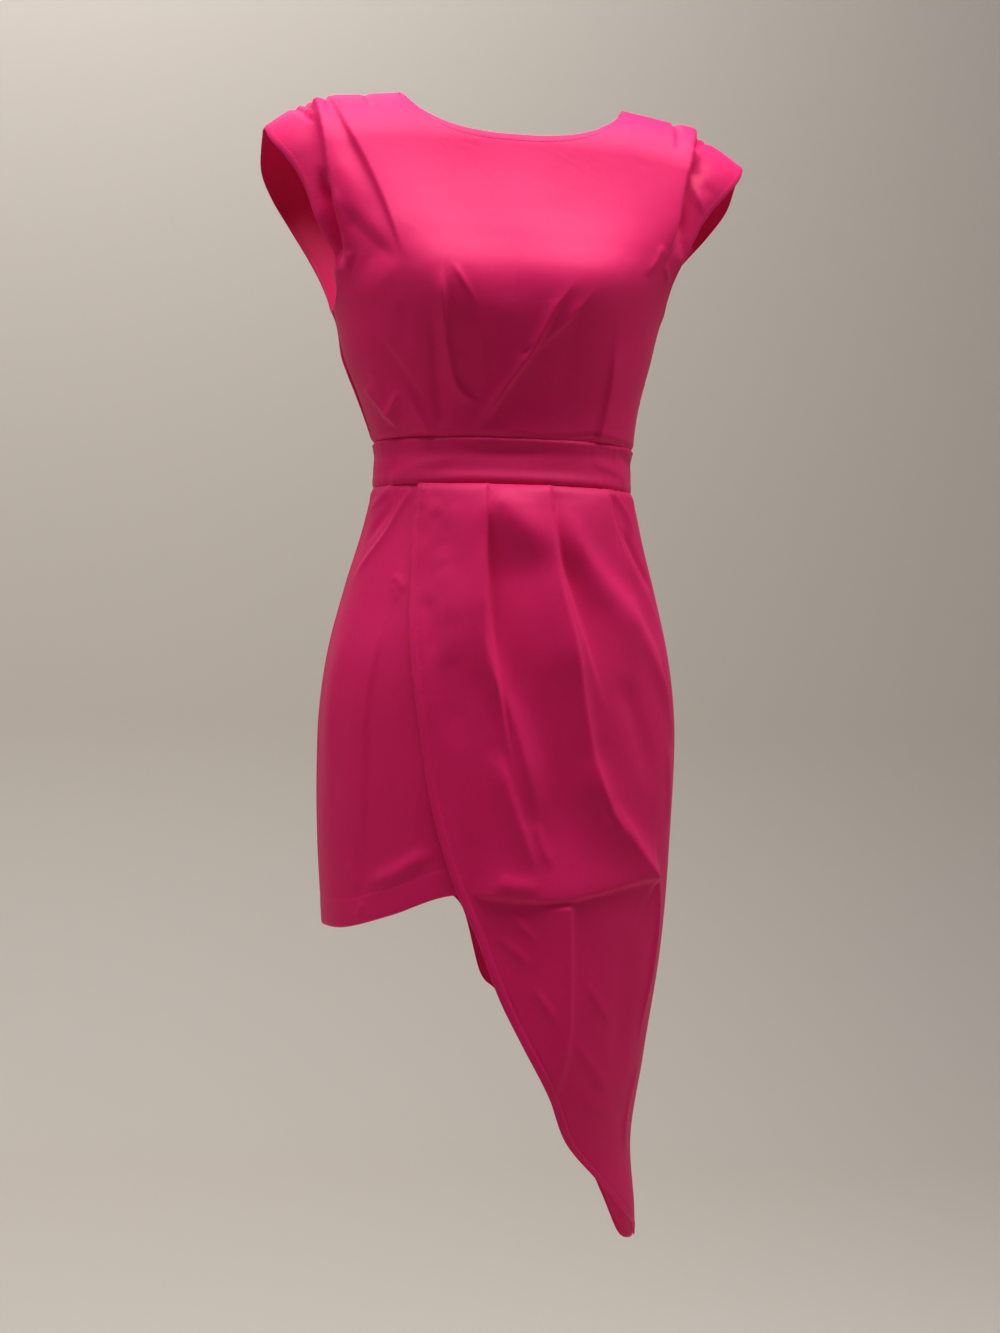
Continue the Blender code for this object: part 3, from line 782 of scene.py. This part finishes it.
short_hem = {
    "angle": (-90, -62, -40, -20, 10, 32, 52, 90),
    "height": (-0.781, -0.780, -0.766, -0.747, -0.750, -0.742, -0.732, -0.734),
}
under_folds = (
    # The drag line from the waist to the hip, and the slack above it.
    fold(
        ((-49, -0.374), (-54, -0.392), (-61, -0.418), (-70, -0.440), (-80, -0.462)),
        0.0026, (0.0060, 0.0045), ends=(0.10, 0.35), keen=1.3,
    ),
    fold(((-58, -0.386), (-68, -0.404), (-78, -0.424)), -0.0020, (0.0070, 0.0070)),
    fold(((-62, -0.372), (-74, -0.384), (-86, -0.392)), 0.0018, (0.0050, 0.0060)),
    # Small crumples beside the wrap's edge.
    fold(((-50, -0.456), (-46, -0.460), (-41, -0.472)), 0.0016, (0.0040, 0.0034), keen=1.4),
    fold(((-49, -0.464), (-46, -0.470), (-45, -0.482)), 0.0011, (0.0034, 0.0034), keen=1.4),
    # The soft vertical fold of the panel, and the pull towards its hem.
    fold(((-48, -0.480), (-51, -0.560), (-52, -0.650), (-52, -0.738)), 0.0025, (0.0044, 0.022), keen=1.6),
    fold(((-24, -0.704), (-38, -0.727), (-53, -0.744)), 0.0024, (0.0075, 0.0075)),
    fold(((-60, -0.716), (-57, -0.732), (-54, -0.748)), 0.0016, (0.0036, 0.0046), keen=1.4),
    fold(((-53, -0.754), (-54, -0.762), (-56, -0.772)), 0.0014, (0.0036, 0.0046), keen=1.4),
    fold(((-70, -0.500), (-74, -0.580), (-72, -0.660)), 0.0014, (0.016, 0.016)),
)


def under_panel():
    # It ends 2 degrees short of the right side seam, out of sight.
    angle = -90 + 178 * evenly(200)[None, :]
    low = read(short_hem, "angle", "height", angle)
    height = low + (BAND_BOTTOM - low) * evenly(180)[:, None]
    angle = angle + 0 * height
    # Past the wrap's free edge, which slants away by 83 degrees a metre, the pleats press it in. Beside
    # the right side seam it lies 2.1 mm in, where the wrap comes in over it.
    past_edge = angle + 45.0 - 83.0 * np.clip(-0.41 - height, 0, 1)
    pressed = ease((past_edge - 3.0) / 14.0) * ease((80.0 - angle) / 30.0) * ease((-0.372 - height) / 0.050)
    near_seam = ease((angle - 56.0) / 28.0)
    points = on_skirt(angle, height, -0.0021 * near_seam - 0.0095 * pressed)
    grid = unrolled(angle, height)
    away = edge_distances(points)
    lift = ripples(grid, 0.14, 0.0006, 41) + creased(grid, around_the_hip(under_folds))
    # Its own folds fade out under the wrap.
    lift *= ease((44.0 - angle) / 30.0)
    lift += seam_dip(away["top"]) + seam_dip(away["left"]) + turned_edge(away["bottom"], SHORT_HEM)
    lift += puckers(angle, away["top"], 42)
    points = raised(points, lift)
    marks = hem_marks((away["bottom"], SHORT_HEM, away["left"]))
    return with_allowance(points, marks, "top")


made, marks = under_panel()
cloth("under_skirt", made, marks, "skirt_front_under")

# The wrap: the pleated front skirt that lies over the short one, from the right side seam across to a
# free edge that falls from the waist and slants away to the long tip. Four knife pleats are laid into
# the waist seam, folded edges to the right, and open out into soft drapes lower down.

WRAP_HEM = 0.009
WRAP_TIP = -1.0740

wrap_edge = {
    "height": (
        -1.0700, -1.0525, -1.0290, -1.0060, -0.9790, -0.9325, -0.8825, -0.8420, -0.8150,
        -0.7850, -0.7400, -0.6650, -0.5750, -0.5000, -0.4600, -0.4120, -0.3700,
    ),
    "angle": (
        85.0, 66.0, 51.0, 39.5, 27.5, 17.0, 5.5, -2.5, -6.5,
        -10.5, -17.5, -25.5, -31.5, -37.5, -40.5, -44.5, -45.0,
    ),
}
# More rows at the pleat heads and where the wrap falls over the short skirt's hem.
wrap_rows = {
    "part": (0.0, 0.30, 0.52, 0.80, 1.0),
    "height": (WRAP_TIP, -0.800, -0.712, -0.450, BAND_BOTTOM),
}
pleat_folds = (
    # Each pleat's folded edge, the sunk cloth beside it, and the soft crest where the next head turns
    # down into it.
    fold(
        ((-13, -0.362), (-12.5, -0.400), (-12, -0.441), (-10.5, -0.500), (-9, -0.560)),
        0.0064, (0.0022, 0.027), ends=(0.0, 0.45), keen=1.6,
    ),
    fold(
        ((-12, -0.380), (-11, -0.422), (-9, -0.470), (-6, -0.530), (-1, -0.600), (5, -0.670)),
        -0.0066, (0.028, 0.0024), ends=(0.28, 0.50),
    ),
    fold(
        ((-14, -0.374), (-7, -0.390), (1, -0.407), (9, -0.426), (14, -0.446)),
        0.0050, (0.018, 0.021), ends=(0.25, 0.45),
    ),
    fold(
        ((13.5, -0.362), (14, -0.400), (14.5, -0.440), (19, -0.508), (22, -0.568)),
        0.0064, (0.0024, 0.022), ends=(0.0, 0.45), keen=1.6,
    ),
    fold(
        ((16, -0.392), (17, -0.430), (21, -0.475), (26, -0.525), (32, -0.580)),
        -0.0060, (0.022, 0.0026), ends=(0.35, 0.55),
    ),
    fold(
        ((14, -0.378), (20, -0.408), (25, -0.432), (32, -0.455), (39, -0.475), (45, -0.512), (50, -0.560)),
        0.0054, (0.015, 0.018), ends=(0.30, 0.40),
    ),
    fold(
        ((42, -0.362), (44, -0.398), (49, -0.435), (61, -0.471), (71, -0.505)),
        0.0058, (0.0026, 0.020), ends=(0.0, 0.55), keen=1.6,
    ),
    fold(((46, -0.362), (54, -0.388), (63, -0.414)), 0.0036, (0.0024, 0.0080), ends=(0.0, 0.5), keen=1.6),
    fold(((50, -0.404), (60, -0.440), (70, -0.466)), -0.0030, (0.0060, 0.0050)),
    # Dimples and slack in the first head.
    fold(((-34, -0.392), (-30, -0.414), (-28, -0.444)), -0.0016, (0.0130, 0.0110)),
    fold(((-42, -0.388), (-40, -0.410), (-35, -0.430)), -0.0010, (0.0100, 0.0090)),
    fold(((-38, -0.380), (-28, -0.390), (-19, -0.384)), -0.0008, (0.0080, 0.0060)),
    fold(((-27, -0.444), (-24, -0.470), (-23, -0.505)), 0.0010, (0.0120, 0.0090)),
)
drape_folds = (
    # The drapes that the pleats open into, each a rounded ridge that slants to the right.
    fold(
        ((-11, -0.490), (-8, -0.533), (0, -0.591), (5, -0.638), (9, -0.695)),
        0.0050, (0.0105, 0.0080), ends=(0.30, 0.35), keen=1.6,
    ),
    fold(((2, -0.480), (8, -0.580), (15, -0.670), (22, -0.745)), -0.0046, (0.034, 0.032), ends=(0.70, 0.30)),
    fold(((-6, -0.610), (0, -0.663), (5, -0.701), (9, -0.738)), 0.0026, (0.0050, 0.010), keen=1.6),
    fold(((7, -0.676), (9, -0.694), (13, -0.722)), 0.0014, (0.0040, 0.0060), keen=1.6),
    fold(
        ((17, -0.480), (19, -0.508), (22, -0.568), (27, -0.631), (33, -0.671)),
        0.0056, (0.0045, 0.0160), ends=(0.30, 0.25), keen=1.25,
    ),
    fold(
        ((25, -0.610), (27, -0.631), (33, -0.671), (44, -0.699), (53, -0.722), (60, -0.735)),
        0.0072, (0.0110, 0.0160), ends=(0.35, 0.08), keen=1.25,
    ),
    fold(((28, -0.648), (31, -0.668), (37, -0.690)), -0.0018, (0.0028, 0.0028)),
    fold(((34, -0.660), (40, -0.682), (46, -0.698)), 0.0014, (0.0034, 0.0034), keen=1.4),
    fold(
        ((43, -0.452), (47, -0.490), (57, -0.533), (66, -0.572), (72, -0.610)),
        0.0040, (0.012, 0.011), ends=(0.25, 0.45),
    ),
    fold(((36, -0.540), (44, -0.590), (52, -0.650)), -0.0022, (0.012, 0.012)),
    fold(((60, -0.520), (66, -0.560), (70, -0.590)), -0.0018, (0.0044, 0.0050)),
    fold(((62, -0.600), (67, -0.640), (70, -0.690)), 0.0014, (0.0080, 0.0080)),
    # Slack beside the free edge, and small crumples.
    fold(
        ((-30, -0.620), (-21, -0.710), (-10, -0.795), (5, -0.868)),
        0.0018, (0.012, 0.010), ends=(0.4, 0.3),
    ),
    fold(((-33, -0.470), (-29, -0.500), (-27, -0.540)), -0.0014, (0.0070, 0.0070)),
    fold(((-24, -0.520), (-20, -0.560), (-18, -0.620)), -0.0014, (0.012, 0.012)),
)
tail_folds = (
    # The hem of the short skirt shows through as a step, and turns down at its corner.
    fold(
        (
            (-13, -0.743), (-4, -0.746), (9, -0.7485), (20, -0.7465),
            (32, -0.740), (50, -0.7305), (59, -0.729),
        ),
        0.0032, (0.026, 0.0026), ends=(0.10, 0.06), keen=1.6,
    ),
    fold(((-6, -0.733), (2, -0.737), (11, -0.738)), 0.0018, (0.0090, 0.0090)),
    fold(
        ((57, -0.722), (61, -0.742), (63.5, -0.775), (63, -0.815), (61, -0.862), (64, -0.905)),
        0.0034, (0.011, 0.0036), ends=(0.06, 0.45), keen=1.5,
    ),
    # The long vertical crease down the tail, and the crumples round it.
    fold(
        ((19, -0.750), (21.4, -0.84), (22, -0.88), (19.3, -0.921), (16, -0.950)),
        0.0034, (0.0034, 0.022), ends=(0.04, 0.25), keen=1.5,
    ),
    fold(((-1, -0.757), (4, -0.774), (11, -0.790)), 0.0012, (0.0044, 0.0036), ends=(0.3, 0.5), keen=1.5),
    fold(((-4, -0.781), (2, -0.796), (9, -0.812)), 0.0008, (0.0044, 0.0044)),
    fold(((8, -0.828), (13, -0.846), (18, -0.868)), 0.0011, (0.0044, 0.0036), ends=(0.3, 0.5), keen=1.5),
    fold(((26, -0.822), (34, -0.846), (44, -0.872)), 0.0010, (0.0060, 0.0044), ends=(0.3, 0.5), keen=1.6),
    fold(((24, -0.877), (33, -0.902), (46, -0.932)), 0.0010, (0.0070, 0.0060)),
    fold(((27, -0.924), (40, -0.944), (57, -0.957)), 0.0010, (0.0070, 0.0060)),
    fold(((42, -0.770), (45, -0.840), (49, -0.930)), -0.0020, (0.016, 0.016)),
    fold(((66, -0.900), (62, -0.949), (66, -1.000)), 0.0018, (0.0090, 0.0060)),
)
wrap_folds = pleat_folds + drape_folds + tail_folds
# Each head puffs out between the folded edges at its sides.
pleat_heads = {
    "start": (-45.0, -12.5, 14.0, 44.0),
    "end": (-12.5, 14.0, 44.0, 76.0),
    "puff": (0.0048, 0.0066, 0.0054, 0.0026),
}


def heads(angle, down):
    """The puff of the pleat heads: quick to rise out of the waist seam, then slow to fade."""
    total = 0 * angle
    for start, end, puff in zip(*pleat_heads.values()):
        total += puff * np.sin(np.pi * np.clip((angle - start) / (end - start), 0, 1)) ** 0.6
    return total * np.sin(np.pi / 2 * np.clip(down / 0.022, 0, 1)) ** 0.8 * ease((0.090 - down) / 0.064)


def wrap_panel():
    height = read(wrap_rows, "part", "height", evenly(240))[:, None]
    start = read(wrap_edge, "height", "angle", height)
    angle = start + (90.0 - start) * evenly(184)[None, :]
    height = height + 0 * angle
    down = BAND_BOTTOM - height
    # It lies 2.8 mm further out than the short skirt, and comes in to the side seam.
    over_skirt = 0.0028 * ease((90.0 - angle) / 24.0)
    points = on_skirt(angle, height, over_skirt)
    grid = unrolled(angle, height)
    away = edge_distances(points)
    lift = ripples(grid, 0.12, 0.0006, 51) + creased(grid, around_the_hip(wrap_folds))
    # The waist seam holds the folds down to less than half of their rise.
    lift = lift * (0.45 + 0.55 * np.clip(down / 0.012, 0, 1) ** 0.5) + heads(angle, down)
    lift *= ease((90.0 - angle) / 10.0)
    lift += seam_dip(away["top"]) + seam_dip(away["right"])
    lift += turned_edge(away["left"], WRAP_HEM, 0.00045) + puckers(angle, away["top"], 52)
    points = raised(points, lift)
    marks = hem_marks((away["left"], WRAP_HEM, away["bottom"]))
    return with_allowance(points, marks, "top")


made, marks = wrap_panel()
cloth("pleated_wrap", made, marks, "skirt_front_overlay")

# The back skirt: one panel from side seam to side seam. Its hem runs level from the short side to the
# middle of the back and slants down to the tip that it shares with the wrap.

BACK_HEM = 0.012

long_hem = {
    "angle": (90, 99, 111, 121, 135, 150, 162, 173, 179, 185, 190, 215, 245, 270),
    "height": (
        -1.074, -1.081, -1.077, -1.046, -0.990, -0.945, -0.903,
        -0.853, -0.835, -0.775, -0.758, -0.760, -0.771, -0.781,
    ),
}
behind_folds = (
    # A short dart on each side of the waist.
    fold(((152, -0.362), (149, -0.420), (142, -0.480)), 0.0026, (0.0036, 0.012), ends=(0.0, 0.6), keen=1.6),
    fold(((208, -0.362), (211, -0.420), (218, -0.475)), 0.0026, (0.012, 0.0036), ends=(0.0, 0.6), keen=1.6),
    # The drape of the long side, and slack over the hips.
    fold(((116, -0.470), (124, -0.600), (136, -0.750), (142, -0.880)), 0.0030, (0.020, 0.014), keen=1.6),
    fold(((100, -0.560), (106, -0.700), (118, -0.860), (124, -0.980)), 0.0022, (0.014, 0.010), keen=1.6),
    fold(((172, -0.600), (170, -0.700), (166, -0.800)), 0.0018, (0.012, 0.016)),
    fold(((256, -0.420), (240, -0.500), (212, -0.548)), 0.0020, (0.0060, 0.012), keen=1.5),
    fold(((262, -0.470), (248, -0.540), (230, -0.590)), 0.0014, (0.0060, 0.012), keen=1.5),
    fold(((104, -0.430), (120, -0.500), (146, -0.552)), 0.0018, (0.012, 0.0060), keen=1.5),
    fold(((228, -0.600), (226, -0.680), (222, -0.750)), 0.0018, (0.016, 0.010)),
    fold(((250, -0.640), (249, -0.700), (246, -0.762)), 0.0014, (0.010, 0.014)),
)


def back_panel():
    angle = 90 + 180 * evenly(210)[None, :]
    low = read(long_hem, "angle", "height", angle)
    height = low + (BAND_BOTTOM - low) * evenly(190)[:, None]
    angle = angle + 0 * height
    points = on_skirt(angle, height)
    grid = unrolled(angle, height)
    away = edge_distances(points)
    lift = ripples(grid, 0.15, 0.0006, 61) + creased(grid, around_the_hip(behind_folds))
    for edge in ("top", "left", "right"):
        lift += seam_dip(away[edge])
    lift += puckers(angle, away["top"], 62) + turned_edge(away["bottom"], BACK_HEM)
    points = raised(points, lift)
    marks = hem_marks((away["bottom"], BACK_HEM, away["left"]))
    return with_allowance(points, marks, "top")


made, marks = back_panel()
cloth("back_skirt", made, marks, "skirt_back")

# The studio: a plain pale floor and wall, a large soft light over the dress, two weak ones that fill
# the shade from the sides, and one that washes the wall from above.

ground = bpy.data.materials.new("pale_ground")
ground.use_nodes = True
matt = ground.node_tree.nodes["Principled BSDF"]
matt.inputs["Base Color"].default_value = (0.72, 0.655, 0.59, 1.0)
matt.inputs["Roughness"].default_value = 0.9


def backdrop():
    """Floor and wall in one sheet, with a wide cove between them."""
    floor = -1.62
    wall = 4.6
    wall_top = 5.0
    cove = 1.0
    reach = 30.0
    turn = np.pi / 2 * evenly(24)
    bend = [(wall - cove + cove * math.sin(t), floor + cove - cove * math.cos(t)) for t in turn]
    profile = [(-reach, floor)] + bend + [(wall, wall_top)]
    mesh = bpy.data.meshes.new("backdrop")
    points = [(x, y, z) for y, z in profile for x in (-reach, reach)]
    faces = [(2 * k, 2 * k + 1, 2 * k + 3, 2 * k + 2) for k in range(len(profile) - 1)]
    mesh.from_pydata(points, [], faces)
    mesh.materials.append(ground)
    mesh.shade_smooth()
    sheet = bpy.data.objects.new("backdrop", mesh)
    bpy.context.scene.collection.objects.link(sheet)


backdrop()


def soft_light(name, place, aim, width, depth, power):
    data = bpy.data.lights.new(name, "AREA")
    data.shape = "RECTANGLE"
    data.size = width
    data.size_y = depth
    data.energy = power
    lamp = bpy.data.objects.new(name, data)
    lamp.location = place
    lamp.rotation_euler = (Vector(aim) - Vector(place)).to_track_quat("-Z", "Y").to_euler()
    bpy.context.scene.collection.objects.link(lamp)


soft_light("key", (0.04, -0.38, 1.25), (0.04, -0.05, -0.2), 2.0, 0.5, 56.0)
soft_light("left_fill", (-2.5, -0.9, 0.5), (0.0, 0.0, -0.4), 1.2, 1.2, 8.0)
soft_light("right_fill", (2.6, -0.9, 0.3), (0.0, 0.0, -0.5), 1.2, 1.2, 7.0)
soft_light("wall_wash", (-0.9, 2.8, 3.4), (-0.9, 4.6, 0.4), 2.6, 1.6, 112.0)
world = bpy.data.worlds.new("studio")
world.use_nodes = True
room = world.node_tree.nodes["Background"]
room.inputs["Color"].default_value = (0.93, 0.94, 0.96, 1.0)
room.inputs["Strength"].default_value = 0.09
bpy.context.scene.world = world
bpy.context.scene.view_settings.view_transform = "Standard"

# The camera, at the photograph's angle: level with the hips, 8 degrees to the left of the front, and
# tipped by about a degree.

azimuth = math.radians(-8.0)
tip = math.radians(1.3)
distance = 2.6
eye = Vector((math.sin(azimuth) * distance, -math.cos(azimuth) * distance, -0.573))
lens = bpy.data.cameras.new("camera")
lens.lens = 73.9
lens.sensor_width = 36.0
lens.shift_x = 0.0022
lens.shift_y = 0.0296
camera = bpy.data.objects.new("camera", lens)
level = Vector((-math.sin(azimuth), math.cos(azimuth), 0.0)).to_track_quat("-Z", "Y").to_matrix()
tipped = level @ Matrix.Rotation(tip, 3, "Z")
camera.matrix_world = Matrix.Translation(eye) @ tipped.to_4x4()
bpy.context.scene.collection.objects.link(camera)
bpy.context.scene.camera = camera
